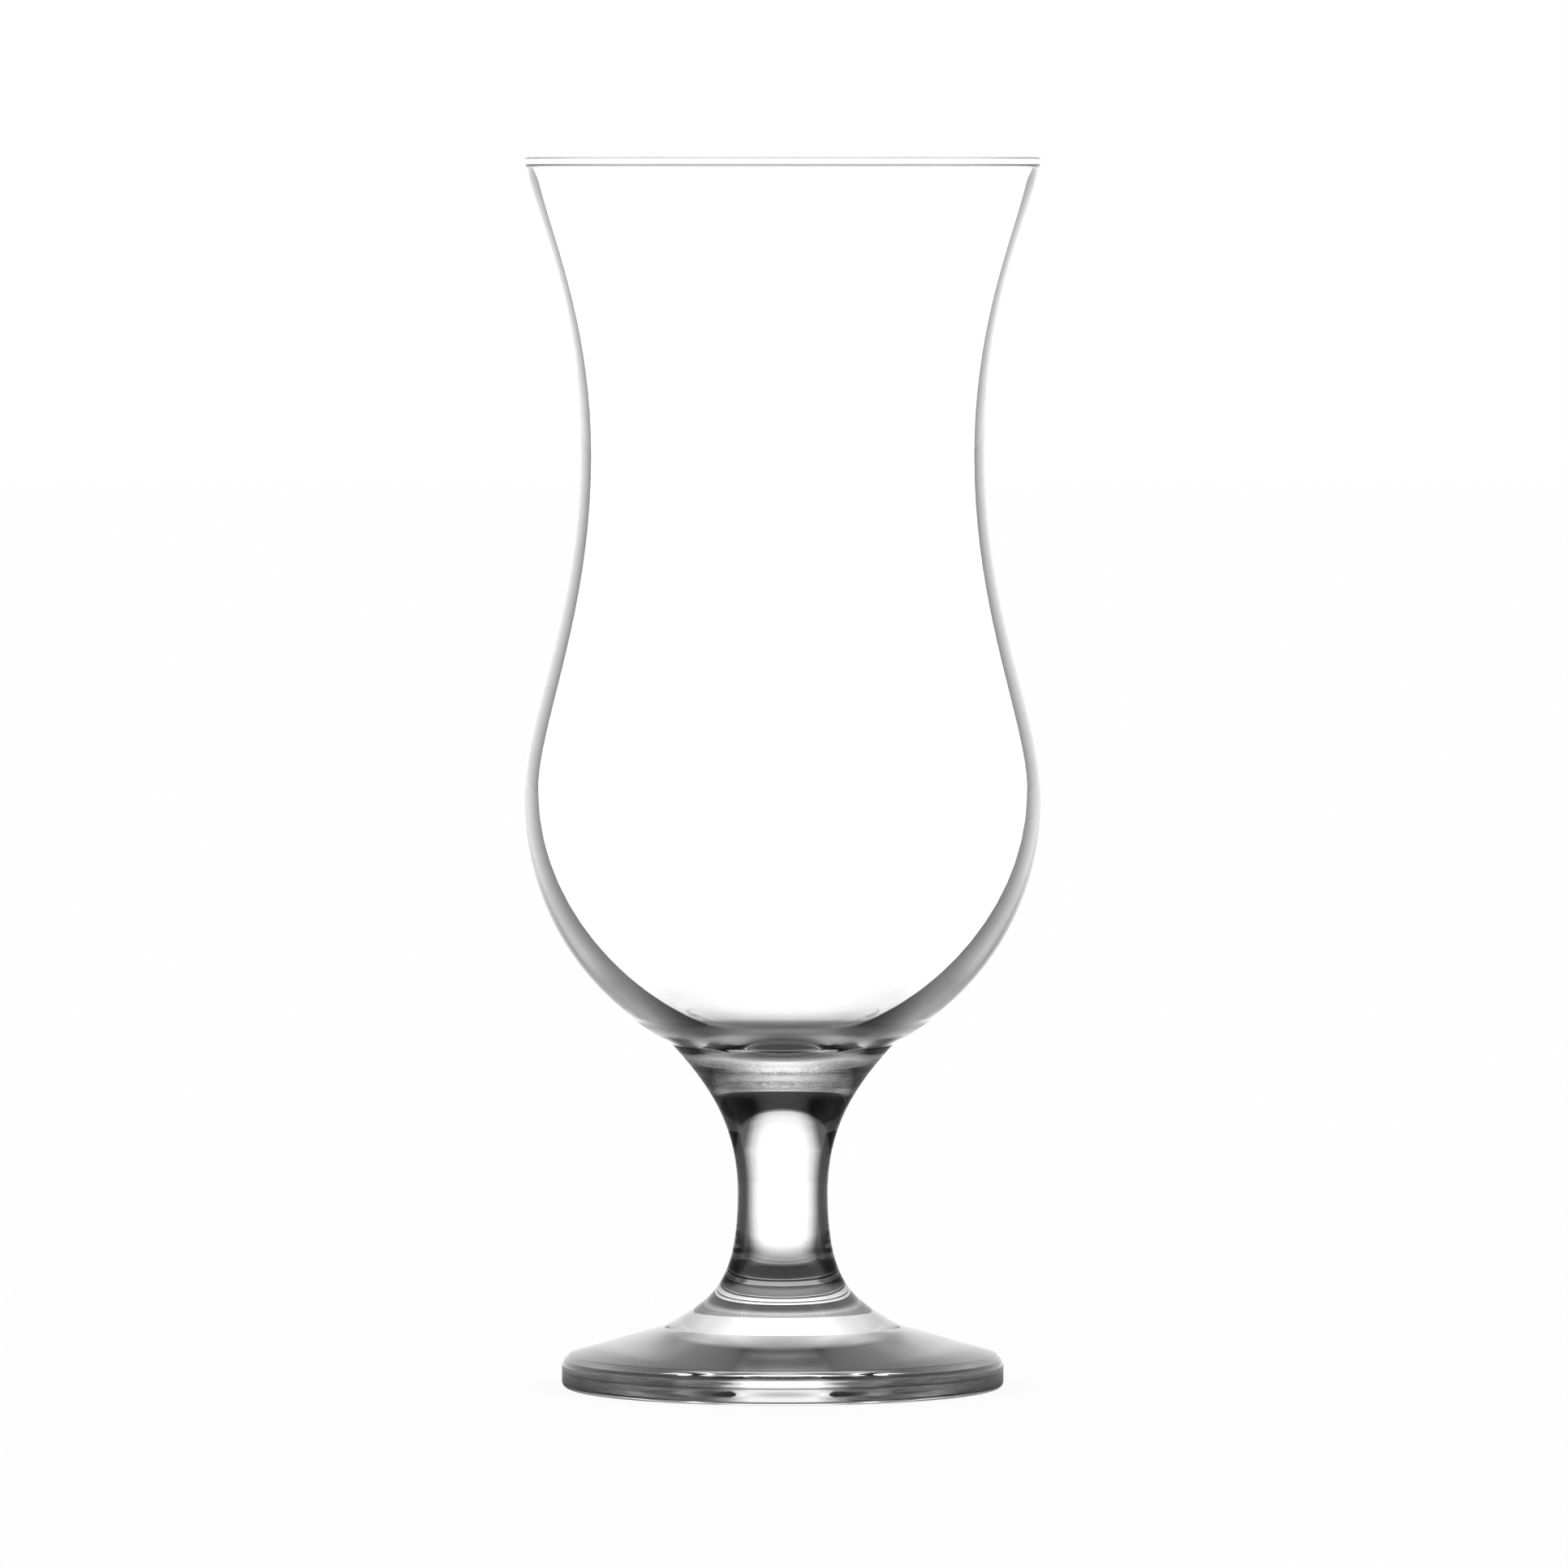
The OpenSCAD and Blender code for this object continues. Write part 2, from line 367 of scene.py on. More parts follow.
def add(tree, kind, settings=None, inputs=None, stops=()):
    """Adds a node, sets it up, and links what is given as another node's socket."""
    node = tree.nodes.new(kind)
    for name, value in (settings or {}).items():
        setattr(node, name, value)
    for name, value in (inputs or {}).items():
        if isinstance(value, bpy.types.NodeSocket):
            tree.links.new(value, node.inputs[name])
        else:
            node.inputs[name].default_value = value
    if stops:
        band = node.color_ramp.elements
        while len(band) < len(stops):
            band.new(1.0)
        for element, (place, level) in zip(band, stops):
            element.position = place
            element.color = (level, level, level, 1)
    return node


def blank(name):
    """A new material with an empty node tree."""
    material = bpy.data.materials.new(name)
    material.use_nodes = True
    material.node_tree.nodes.clear()
    return material, material.node_tree


WHITE = linear("#FFFFFF")
print("the hex value #F4F4F4 is linear", round(linear("#F4F4F4")[0], 3))

# %% [markdown]
# ## What a glass surface can know
# A tint may depend on where on the glass a surface point lies, on whether light meets it from
# the air or from within the glass, and on the angle at which it does so. Soda-lime glass has
# an index of refraction near 1.52. Light inside it that meets a surface at more than 41
# degrees is trapped: as a facing value that limit is 0.2469, and the dark line along the
# inside of every wine glass is the place where it is crossed.

# %% Place and angle
GLASS_IOR = 1.52
CRITICAL = 1 - math.sqrt(1 - 1 / GLASS_IOR ** 2)
EVEN_BLEND = 0.5  # Layer Weight then gives one minus the cosine of the angle


def place_on_glass(tree):
    """The place on the glass in metres, as sockets X, Y and Z."""
    place = add(tree, "ShaderNodeTexCoord").outputs["Object"]
    return add(tree, "ShaderNodeSeparateXYZ", inputs={"Vector": place}).outputs


def from_axis(tree):
    """The level arrow from the glass's axis to the place."""
    place = place_on_glass(tree)
    return add(tree, "ShaderNodeCombineXYZ", inputs={"X": place["X"], "Y": place["Y"]}).outputs["Vector"]


def within(tree):
    """1 where light meets the surface from within the glass, 0 where it comes from the air."""
    return add(tree, "ShaderNodeNewGeometry").outputs["Backfacing"]


def facing(tree):
    """0 where light meets the surface head on, 1 where it only grazes it."""
    return add(tree, "ShaderNodeLayerWeight", inputs={"Blend": EVEN_BLEND}).outputs["Facing"]


def sideways(tree):
    """0 in the middle of the glass and 1 at its sides, from whichever side it is seen."""
    away = add(tree, "ShaderNodeVectorMath", {"operation": "NORMALIZE"}, {0: from_axis(tree)})
    return add(tree, "ShaderNodeLayerWeight", None, {
        "Blend": EVEN_BLEND, "Normal": away.outputs["Vector"]}).outputs["Facing"]


print("light is trapped in the wall past a facing value of", round(CRITICAL, 4))

# %% Levels that follow the angle or the height
MIX_SHARE, MIX_A, MIX_B, MIX_RESULT = 0, 6, 7, 2  # the Mix node's sockets for colours


def by_facing(tree, tones):
    """A tone for each angle at which light meets the surface."""
    return add(tree, "ShaderNodeValToRGB", None, {"Fac": facing(tree)}, tones).outputs["Color"]


def by_side(tree, tones):
    """A tone from the middle of the glass to its sides."""
    return add(tree, "ShaderNodeValToRGB", None, {"Fac": sideways(tree)}, tones).outputs["Color"]


def above(tree, low, high):
    """0 below one height in millimetres, 1 above the other and even between."""
    return add(tree, "ShaderNodeMapRange", None, {"Value": place_on_glass(tree)["Z"],
               "From Min": low * MM, "From Max": high * MM}).outputs["Result"]


def by_height(tree, levels):
    """A level for each height in millimetres; the first and last one go on past the ends."""
    low, high = levels[0][0], levels[-1][0]
    stops = [((height - low) / (high - low), level) for height, level in levels]
    return add(tree, "ShaderNodeValToRGB", None, {"Fac": above(tree, low, high)}, stops).outputs["Color"]


def stacked(tree, lower, heights, upper):
    """One tint below two heights and another above them, with an even change between."""
    return add(tree, "ShaderNodeMix", {"data_type": "RGBA"}, {MIX_SHARE: above(tree, *heights),
               MIX_A: lower, MIX_B: upper}).outputs[MIX_RESULT]


def entering(tree, tint):
    """The tint for light that comes from the air, and none for light within the glass."""
    return add(tree, "ShaderNodeMix", {"data_type": "RGBA"}, {MIX_SHARE: within(tree),
               MIX_A: tint, MIX_B: WHITE}).outputs[MIX_RESULT]


print("a tint can now follow the angle, the side and the height")

# %% [markdown]
# ## Clear glass
# The gathers are fire-polished: flames smooth the skin until it mirrors and bends light
# without any blur, which the Glass shader gives at a roughness of 0. In a studio for glass,
# the wall behind is bright and the sides are dark, and the dark sides draw the lines that
# show the form. A round room in the render can't be dark at its sides for every view, so the
# dark comes from tints instead: light that crosses a surface at a slant is dimmed, as if it
# went on to the dark side of the studio.


# %% Glass that bends light
def clear_glass(name, tint=None, rough=None):
    """Clear glass; tint dims light by angle and height, rough blurs what is seen through it."""
    material, tree = blank(name)
    glass = add(tree, "ShaderNodeBsdfGlass", {"distribution": "MULTI_GGX"},
                {"Roughness": 0.0, "IOR": GLASS_IOR})
    if tint:
        tree.links.new(tint(tree), glass.inputs["Color"])
    if rough:
        tree.links.new(rough(tree), glass.inputs["Roughness"])
    add(tree, "ShaderNodeOutputMaterial", inputs={"Surface": glass.outputs[0]})
    return material


# Pressed soda-lime glass, fire-polished: plain and clear, as on the underside of the foot.
foot_glass = clear_glass("pressed_foot_glass")
print("first glass:", foot_glass.name)

# %% [markdown]
# ## The bowl's inside
# A line of sight that just fails to pass the inner wall stays in the glass and comes out at a
# slant, towards the dark sides. So the wall is nearly black at its inner border and pales
# towards the outside. High on the bowl the wall is thin and the change is quick, and low
# under the belly the dark is wide. The rows of tones below are read by depth, 0 at the inner
# border and 1 at the outer one, and they give way to each other with the height.

# %% Tones of the trapped light in the wall
# The facing value at the wall's outer border, by height in millimetres
OUTER_BORDER = [(59, 0.317), (61.88, 0.31271), (65.84, 0.30803), (71.6, 0.30101), (82.04, 0.2858),
                (95, 0.278)]
# Tones by depth: low, in the middle and high on the bowl
LOW_TONES = [(0, 0.03), (0.15, 0.033), (0.3, 0.042), (0.45, 0.045), (0.6, 0.04), (0.7, 0.038),
             (0.78, 0.048), (0.84, 0.07), (0.9, 0.15), (0.95, 0.36), (1, 0.9)]
MID_TONES = [(0, 0.03), (0.11, 0.04), (0.26, 0.08), (0.35, 0.12), (0.44, 0.17), (0.58, 0.25),
             (0.65, 0.31), (0.72, 0.38), (0.82, 0.52), (1, 0.62)]
HIGH_TONES = [(0, 0.04), (0.13, 0.06), (0.26, 0.12), (0.43, 0.21), (0.52, 0.24), (0.65, 0.29),
              (0.95, 0.42), (1, 0.5)]
# Tones by facing at the rounded bottom, and the heights between which the rows change over
BOTTOM_SLANT = [(0, 0.5), (0.35, 0.5), (0.45, 0.75), (1, 0.75)]
LOW_TO_MID, MID_TO_HIGH, BOTTOM_TO_LOW = (65, 69), (83, 95), (57.4, 58.5)


def trapped_light(tree):
    """Painted shade: dark at the wall's inner border, paler towards the outer one."""
    depth = add(tree, "ShaderNodeMapRange", None, {"Value": facing(tree), "From Min": CRITICAL,
                "From Max": by_height(tree, OUTER_BORDER)}).outputs["Result"]
    low, mid, high = (add(tree, "ShaderNodeValToRGB", None, {"Fac": depth}, tones).outputs["Color"]
                      for tones in (LOW_TONES, MID_TONES, HIGH_TONES))
    wall = stacked(tree, stacked(tree, low, LOW_TO_MID, mid), MID_TO_HIGH, high)
    return stacked(tree, by_facing(tree, BOTTOM_SLANT), BOTTOM_TO_LOW, wall)


print("tones of the wall:", len(LOW_TONES), len(MID_TONES), len(HIGH_TONES))

# %% [markdown]
# ## Light that still gets through
# Where light isn't trapped, the bowl is clear, with a faint painted grey halo just before the
# dark border. Only the rounded bottom gets painted grey shade: it lies over thick glass that
# sends the light down into the stem.

# %% Tones of the light that passes, and both together
# The halo is read by facing, the bottom by height in millimetres
HALO = [(0, 1), (0.1, 1), (0.14, 0.95), (0.18, 0.9), (0.22, 0.87), (0.24, 0.92), (0.2469, 1)]
BOTTOM_TONES = [(57.8, 0.13), (58.2, 0.45), (59.1, 0.42), (59.5, 0.45), (59.9, 0.85), (60.2, 1)]
BOTTOM_SHADE, BOTTOM_TO_CLEAR = linear("#656565"), (57.8, 58.7)
SLANT_START, SLANT_END = 0.196, 0.208


def passing_light(tree):
    """Clear with a faint painted halo, and painted grey shade over the rounded bottom."""
    clear = by_facing(tree, HALO)
    slanting = add(tree, "ShaderNodeMapRange", None, {"Value": facing(tree), "From Min": SLANT_START,
                   "From Max": SLANT_END}).outputs["Result"]
    bottom = add(tree, "ShaderNodeMath", {"operation": "MINIMUM"},
                 {0: by_height(tree, BOTTOM_TONES), 1: clear}).outputs[0]
    return add(tree, "ShaderNodeMix", {"data_type": "RGBA"}, {
        MIX_SHARE: slanting, MIX_A: stacked(tree, BOTTOM_SHADE, BOTTOM_TO_CLEAR, clear),
        MIX_B: bottom}).outputs[MIX_RESULT]


def bowl_inside_tint(tree):
    """Works on light that meets the inner face from within the wall."""
    trapped = add(tree, "ShaderNodeMath", {"operation": "GREATER_THAN"},
                  {0: facing(tree), 1: CRITICAL}).outputs[0]
    leaving = add(tree, "ShaderNodeMix", {"data_type": "RGBA"}, {
        MIX_SHARE: trapped, MIX_A: passing_light(tree), MIX_B: trapped_light(tree)}).outputs[MIX_RESULT]
    return add(tree, "ShaderNodeMix", {"data_type": "RGBA"}, {
        MIX_SHARE: within(tree), MIX_A: WHITE, MIX_B: leaving}).outputs[MIX_RESULT]


# Blown soda-lime glass, fire-polished: the eye gets a clear bowl with a crisp border of painted shade.
bowl_inside_glass = clear_glass("blown_soda_lime_glass_inside", bowl_inside_tint)
print("inside of the bowl:", bowl_inside_glass.name)

# %% [markdown]
# ## The bowl's outside
# Under the belly the outer face also turns light aside where it enters at a slant, which
# keeps the painted grey shade of the wall broad there. Right at the border of the glass it is
# pale again.
# The tones are read by facing, and they fade out between two heights.

# %% Outside of the bowl
OUTSIDE_TONES = [(0, 1), (0.71, 1), (0.76, 0.8), (0.8, 0.66), (0.85, 0.68), (0.91, 1), (1, 1)]
UNDER_THE_BELLY = (68, 80)


def bowl_outside_tint(tree):
    return entering(tree, stacked(tree, by_facing(tree, OUTSIDE_TONES), UNDER_THE_BELLY, WHITE))


# Blown soda-lime glass, fire-polished: smooth, with a soft band of painted shade under the belly.
bowl_glass = clear_glass("blown_soda_lime_glass", bowl_outside_tint)
print("outside of the bowl:", bowl_glass.name)

# %% [markdown]
# ## The rim
# The melted bead is a thin round rod of glass, so it bends light into two fine lines, which
# are painted shade: a pale grey one along its top and a darker one below. They are given by
# height, in millimetres.

# %% Rim
RIM_SHADE_LINES = [(188.3, 1), (188.45, 0.9), (188.6, 0.5), (188.85, 0.42), (189.0, 0.75), (189.2, 1),
             (189.55, 1), (189.75, 0.65), (190.0, 0.6)]


def rim_tint(tree):
    return entering(tree, by_height(tree, RIM_SHADE_LINES))


# Blown glass, melted at its edge: a soft bead with a fine line of painted shade above and below.
rim_glass = clear_glass("blown_glass_rim", rim_tint)
print("rim:", rim_glass.name)

# %% [markdown]
# ## The stem
# A solid rod of glass is a strong lens. It shows the whole wall behind it as one bright
# stripe, and its sides show only what lies beside the wall, which is dark. The rows are read
# by how far to the side light enters. Where the stem widens, the stripe gets narrower, so
# the side value is multiplied there. A ramp holds levels up to 1, so that row is divided by
# its largest value and multiplied by it again afterwards.

# %% Tones from the middle of the stem to its sides
STEM_SIDES = [(0, 1), (0.05, 0.97), (0.097, 0.9), (0.123, 0.83), (0.152, 0.75), (0.193, 0.62),
              (0.232, 0.53), (0.276, 0.36), (0.339, 0.2), (0.4, 0.07), (0.47, 0.055),
              (0.585, 0.06), (0.72, 0.08), (0.97, 0.4), (1, 0.8)]
FLARE_SIDES = [(0, 0.95), (0.03, 0.75), (0.083, 0.55), (0.15, 0.38), (0.25, 0.3), (0.35, 0.34),
               (0.45, 0.3), (0.6, 0.22), (1, 0.25)]
LOW_SIDES = [(0, 1), (0.1, 0.95), (0.17, 0.8), (0.25, 0.7), (0.34, 0.68), (0.46, 0.58),
             (0.65, 0.5), (0.9, 0.6), (1, 0.8)]
# How many times the side value counts, by height in millimetres
NARROWING = [(16.4, 1), (16.8, 1.6), (17.3, 1.6), (18, 1), (20.4, 1.3), (21.4, 1.5), (23.9, 1.15),
             (27, 1), (37, 1), (39, 1.35), (41.5, 2), (43.7, 4)]
NARROWEST, SIDE_LIMIT = 4, 0.38
FLARE_START, LOW_END = (45.2, 46.0), (15.2, 16.6)


def stem_sides(tree):
    """Painted shade: the bright stripe and the dark sides, with the stripe narrowed where the stem
    widens.
    """
    aside = sideways(tree)
    times = by_height(tree, [(height, level / NARROWEST) for height, level in NARROWING])
    widened = aside
    for operation, value in (("MULTIPLY", times), ("MULTIPLY", NARROWEST), ("MINIMUM", SIDE_LIMIT),
                             ("MAXIMUM", aside)):
        widened = add(tree, "ShaderNodeMath", {"operation": operation},
                      {0: widened, 1: value}).outputs[0]
    stripe = add(tree, "ShaderNodeValToRGB", None, {"Fac": widened}, STEM_SIDES).outputs["Color"]
    upper = stacked(tree, stripe, FLARE_START, by_side(tree, FLARE_SIDES))
    return stacked(tree, by_side(tree, LOW_SIDES), LOW_END, upper)


print("tones of the stem:", len(STEM_SIDES), len(FLARE_SIDES), len(LOW_SIDES))

# %% [markdown]
# ## Bands of painted shade
# Fine level bands of painted shade, about half a millimetre apart, lie on the flare under
# the bowl, drawn as tones by height. The collar is a dark band of painted shade where the
# stripe ends above the foot.

# %% Stem, and the bowl's foot below the crease
# Tones by height in millimetres, and from the middle to the sides
COLLAR_SHADE = [(15.6, 1), (16.5, 0.42), (17.4, 0.33), (19.3, 0.33), (20.1, 0.9), (21, 1)]
FLARE_SHADE_BANDS = [(46.4, 1), (46.9, 0.65), (47.3, 0.8), (47.8, 0.75), (48.4, 0.95), (48.9, 1),
           (49.3, 0.72), (49.7, 0.9), (50.1, 1), (50.5, 0.75), (50.9, 0.85), (51.3, 1), (51.6, 1),
           (52.1, 0.65), (52.5, 0.85), (52.9, 0.55), (53.3, 1)]
BASE_SIDES = [(0, 0.95), (0.03, 0.8), (0.1, 0.6), (0.25, 0.45), (0.35, 0.35), (0.45, 0.2),
              (0.7, 0.2), (1, 0.6)]


def stem_tint(tree):
    banded = add(tree, "ShaderNodeMath", {"operation": "MINIMUM"},
                 {0: stem_sides(tree), 1: by_height(tree, COLLAR_SHADE)}).outputs[0]
    band_shaded = add(tree, "ShaderNodeMath", {"operation": "MULTIPLY"},
                  {0: banded, 1: by_height(tree, FLARE_SHADE_BANDS)}).outputs[0]
    return entering(tree, band_shaded)


def base_tint(tree):
    band_shaded = add(tree, "ShaderNodeMath", {"operation": "MULTIPLY"},
                  {0: by_side(tree, BASE_SIDES), 1: by_height(tree, FLARE_SHADE_BANDS)}).outputs[0]
    return entering(tree, band_shaded)


# Pressed soda-lime glass, fire-polished, with painted shade: a bright stripe between dark sides, and
# fine dark bands on top.
stem_glass = clear_glass("pressed_stem_glass", stem_tint)
# The same bands of painted shade run on over the last 2 mm of the bowl, under its crease, with painted
# shade to the sides.
base_glass = clear_glass("blown_glass_below_the_crease", base_tint)
print("stem:", stem_glass.name, "and", base_glass.name)

# %% [markdown]
# ## The crease
# The bowl was set on the stem when both were soft, and the seam left a crease. The glass
# over it chilled quicker than the rest, so its skin is slightly uneven and what is seen
# through it is blurred. A band of painted shade darkens it, nearly black at both ends, where
# light enters sideways.

# %% Crease
# Tones and blur by height in millimetres, and tones from the middle to the sides
CREASE_SHADE = [(53.2, 1), (53.9, 1), (54.4, 0.95), (55, 0.85), (55.8, 0.68), (56.4, 0.62),
                (57, 0.8), (57.6, 1)]
CREASE_BLUR = [(53.2, 0), (53.9, 0.1), (54.4, 0.25), (56.4, 0.25), (57.6, 0)]
CORNER_SHADE = [(0, 1), (0.28, 1), (0.38, 0.35), (0.5, 0.2), (0.6, 0.5), (0.75, 1), (1, 1)]
CORNER_TOP = (54.4, 54.9)


def crease_tint(tree):
    corners = stacked(tree, by_side(tree, CORNER_SHADE), CORNER_TOP, WHITE)
    toned = add(tree, "ShaderNodeMath", {"operation": "MULTIPLY"},
                {0: by_height(tree, CREASE_SHADE), 1: corners}).outputs[0]
    return entering(tree, toned)


def crease_rough(tree):
    return by_height(tree, CREASE_BLUR)


# Blown glass, chilled at the seam: a blurred view with a soft band of painted shade.
crease_glass = clear_glass("blown_glass_over_the_crease", crease_tint, crease_rough)
print("crease:", crease_glass.name)

# %% [markdown]
# ## The foot's shoulder and slope
# The shoulder is steep enough to show the wall behind as a bright lens. The slope beyond it
# is seen at such a low angle that its depth is painted dark and only its mirror is left, but
# from above it is clear. The border of the lens is an oval, so its radius shrinks towards the
# sides. The press left faint waves on the slope, which blur what is seen through it.

# %% Shoulder and slope
# Tones and blur by facing, and tones straight ahead by the side value; radii in millimetres
SLOPE_TONES = [(0, 1), (0.25, 1), (0.42, 0.1), (0.6, 0.02), (0.66, 0.02), (0.69, 0.07),
               (0.727, 0.36), (0.78, 0.75), (0.85, 0.9), (1, 1)]
SLOPE_AHEAD = [(0, 0.45), (0.006, 0.4), (0.02, 0.3), (0.035, 0)]
SLOPE_BLUR = [(0, 0), (0.25, 0), (0.4, 0.35), (1, 0.35)]
SLOPE_POLISH = 0.3
LENS_R_START, LENS_R_END, LENS_SHRINK = 22.9, 24.3, 8.2


def shoulder_tint(tree):
    return entering(tree, by_side(tree, LOW_SIDES))


def slope_light(tree):
    """Clear on the lens next to the shoulder, and past it painted dark unless seen from above."""
    dark = add(tree, "ShaderNodeMath", {"operation": "MAXIMUM"},
               {0: by_facing(tree, SLOPE_TONES), 1: by_side(tree, SLOPE_AHEAD)}).outputs[0]
    radius = add(tree, "ShaderNodeVectorMath", {"operation": "LENGTH"}, {0: from_axis(tree)})
    oval = add(tree, "ShaderNodeMath", {"operation": "MULTIPLY_ADD"}, {
        0: sideways(tree), 1: LENS_SHRINK * MM, 2: radius.outputs["Value"]}).outputs[0]
    past_lens = add(tree, "ShaderNodeMapRange", None, {"Value": oval, "From Min": LENS_R_START * MM,
                    "From Max": LENS_R_END * MM}).outputs["Result"]
    return add(tree, "ShaderNodeMix", {"data_type": "RGBA"},
               {MIX_SHARE: past_lens, MIX_A: WHITE, MIX_B: dark}).outputs[MIX_RESULT]


def slope_rough(tree):
    """Ripples left by the press blur what is seen through the slope at a low angle."""
    return by_facing(tree, SLOPE_BLUR)


print("the lens ends", LENS_R_START, "to", LENS_R_END, "mm from the axis")

# %% [markdown]
# ## The foot's edge
# The upright edge is painted bright straight ahead and grey to the sides, with level bands of
# painted shade that are darkest at the bottom, where it stands on the table. The mould left
# fine chatter marks on it that are long round the foot and well under a millimetre high.
# The marks come from noise that is stretched along the circumference. They are about 3.8 mm
# long and 0.3 mm high, which is just large enough to show.

# %% Edge
# Tones from the middle to the sides, tones by height in millimetres, and blur to the sides
EDGE_SIDES = [(0, 1), (0.015, 1), (0.022, 0.75), (0.032, 0.5), (0.05, 0.3), (0.9, 0.25), (1, 0.6)]
EDGE_SHADE_BANDS = [(0, 0.1), (0.35, 0.12), (0.5, 0.6), (0.65, 1), (1.2, 0.9), (1.4, 1), (2.35, 1),
              (2.5, 0.35), (2.7, 0.4), (2.85, 1), (3.75, 1), (3.9, 0.25), (4.3, 0.3), (4.5, 1)]
EDGE_BLUR = [(0, 0), (0.018, 0), (0.06, 0.25), (1, 0.25)]
MARKS_PER_RADIAN, MARKS_PER_MM, MARK_DETAIL = 9.0, 3.5, 2.0
GRAIN_DARK, GRAIN_LOW, GRAIN_HIGH = 0.55, 0.35, 0.65
GRAIN_START, GRAIN_FULL = 0.015, 0.04


def edge_grain(tree):
    """Long, fine marks: noise read by the angle round the foot and by the height."""
    place = place_on_glass(tree)
    angle = add(tree, "ShaderNodeMath", {"operation": "ARCTAN2"}, {0: place["Y"], 1: place["X"]})
    steps = ((angle.outputs[0], MARKS_PER_RADIAN), (place["Z"], MARKS_PER_MM / MM))
    along, up = (add(tree, "ShaderNodeMath", {"operation": "MULTIPLY"}, {0: way, 1: count}).outputs[0]
                 for way, count in steps)
    spot = add(tree, "ShaderNodeCombineXYZ", inputs={"X": along, "Y": up}).outputs["Vector"]
    marks = add(tree, "ShaderNodeTexNoise", {"noise_dimensions": "2D"},
                {"Scale": 1.0, "Detail": MARK_DETAIL, "Vector": spot}).outputs[0]
    return add(tree, "ShaderNodeMapRange", None, {
        "Value": marks, "From Min": GRAIN_LOW, "From Max": GRAIN_HIGH,
        "To Min": GRAIN_DARK}).outputs["Result"]


def edge_light(tree):
    """Painted bright straight ahead and grey past that, with level bands of painted shade and the
    mould's marks.
    """
    beside = add(tree, "ShaderNodeMapRange", None, {"Value": sideways(tree), "From Min": GRAIN_START,
                 "From Max": GRAIN_FULL}).outputs["Result"]
    grain = add(tree, "ShaderNodeMix", {"data_type": "RGBA"},
                {MIX_SHARE: beside, MIX_A: WHITE, MIX_B: edge_grain(tree)}).outputs[MIX_RESULT]
    shade_bands = add(tree, "ShaderNodeMath", {"operation": "MULTIPLY"},
                {0: by_height(tree, EDGE_SHADE_BANDS), 1: by_side(tree, EDGE_SIDES)}).outputs[0]
    return add(tree, "ShaderNodeMath", {"operation": "MULTIPLY"}, {0: shade_bands, 1: grain}).outputs[0]


def edge_rough(tree):
    """Fine marks blur what is seen through the edge, except straight ahead."""
    return by_side(tree, EDGE_BLUR)


print("marks of", round(FOOT_R / MARKS_PER_RADIAN, 1), "by", round(1 / MARKS_PER_MM, 2), "mm")


# %% [markdown]
# ## Mirror and depth apart
# On the slope and the edge, only what is seen through the glass is to be shaded. The mirrored
# light never went through it. The Glass shader has one colour for both, so here it is taken
# apart: a Refraction shader with the shade, a Glossy shader without it, and Fresnel, which
# says how much of each is seen at each angle.


# %% The foot's three more glasses
def pressed_glass(name, light, rough, polish=0.0):
    """Glass whose mirror and see-through parts are apart, so that only the latter is shaded."""
    material, tree = blank(name)
    through = add(tree, "ShaderNodeBsdfRefraction", {"distribution": "GGX"}, {
        "IOR": GLASS_IOR, "Color": entering(tree, light(tree)), "Roughness": rough(tree)}).outputs[0]
    mirror = add(tree, "ShaderNodeBsdfAnisotropic", {"distribution": "GGX"},
                 {"Color": WHITE, "Roughness": polish}).outputs[0]
    share = add(tree, "ShaderNodeFresnel", inputs={"IOR": GLASS_IOR}).outputs[0]
    mixed = add(tree, "ShaderNodeMixShader", inputs={0: share, 1: through, 2: mirror}).outputs[0]
    add(tree, "ShaderNodeOutputMaterial", inputs={"Surface": mixed})
    return material


# Pressed glass on the shoulder: steep and clear, so it holds the bright lens, with painted shade to the
# sides.
shoulder_glass = clear_glass("pressed_foot_shoulder", shoulder_tint)
# Pressed glass on the slope: slightly wavy, so its mirror is soft, and its depth is painted grey.
slope_glass = pressed_glass("pressed_foot_slope", slope_light, slope_rough, SLOPE_POLISH)
# Pressed glass on the edge: a sharp mirror over level bands of painted shade and fine marks.
edge_glass = pressed_glass("pressed_foot_edge", edge_light, edge_rough)
print("foot:", shoulder_glass.name, slope_glass.name, edge_glass.name)

# %% [markdown]
# ## Fused joints
# Where two gathers are fused, their flat faces coincide. Light would bend at each of them as
# if there were air between, so those faces let it pass straight on. At the crease the gathers
# met with a trace of chill, and light that only grazes the seam is turned back by it. That
# mirror lies on one of the two faces only, as two in one place would disturb each other.

# %% Joints
SEAM_GRAZE_START, SEAM_GRAZE_FULL = 0.72, 0.77


def fused_joint(name, sheen):
    """Fused gathers let light cross; with a sheen, grazing light is turned back."""
    material, tree = blank(name)
    surface = add(tree, "ShaderNodeBsdfTransparent", inputs={"Color": WHITE}).outputs[0]
    if sheen:
        mirror = add(tree, "ShaderNodeBsdfAnisotropic", {"distribution": "GGX"},
                     {"Color": WHITE, "Roughness": 0.0}).outputs[0]
        grazing = add(tree, "ShaderNodeMapRange", None, {
            "Value": facing(tree), "From Min": SEAM_GRAZE_START,
            "From Max": SEAM_GRAZE_FULL}).outputs["Result"]
        surface = add(tree, "ShaderNodeMixShader", inputs={0: grazing, 1: surface, 2: mirror}).outputs[0]
    add(tree, "ShaderNodeOutputMaterial", inputs={"Surface": surface})
    return material


# Glass fused to glass: nothing is seen of it, except a mirror where the seam is grazed.
joint_glass = fused_joint("fused_joint", False)
seam_glass = fused_joint("fused_seam", True)
print("joints:", joint_glass.name, seam_glass.name)

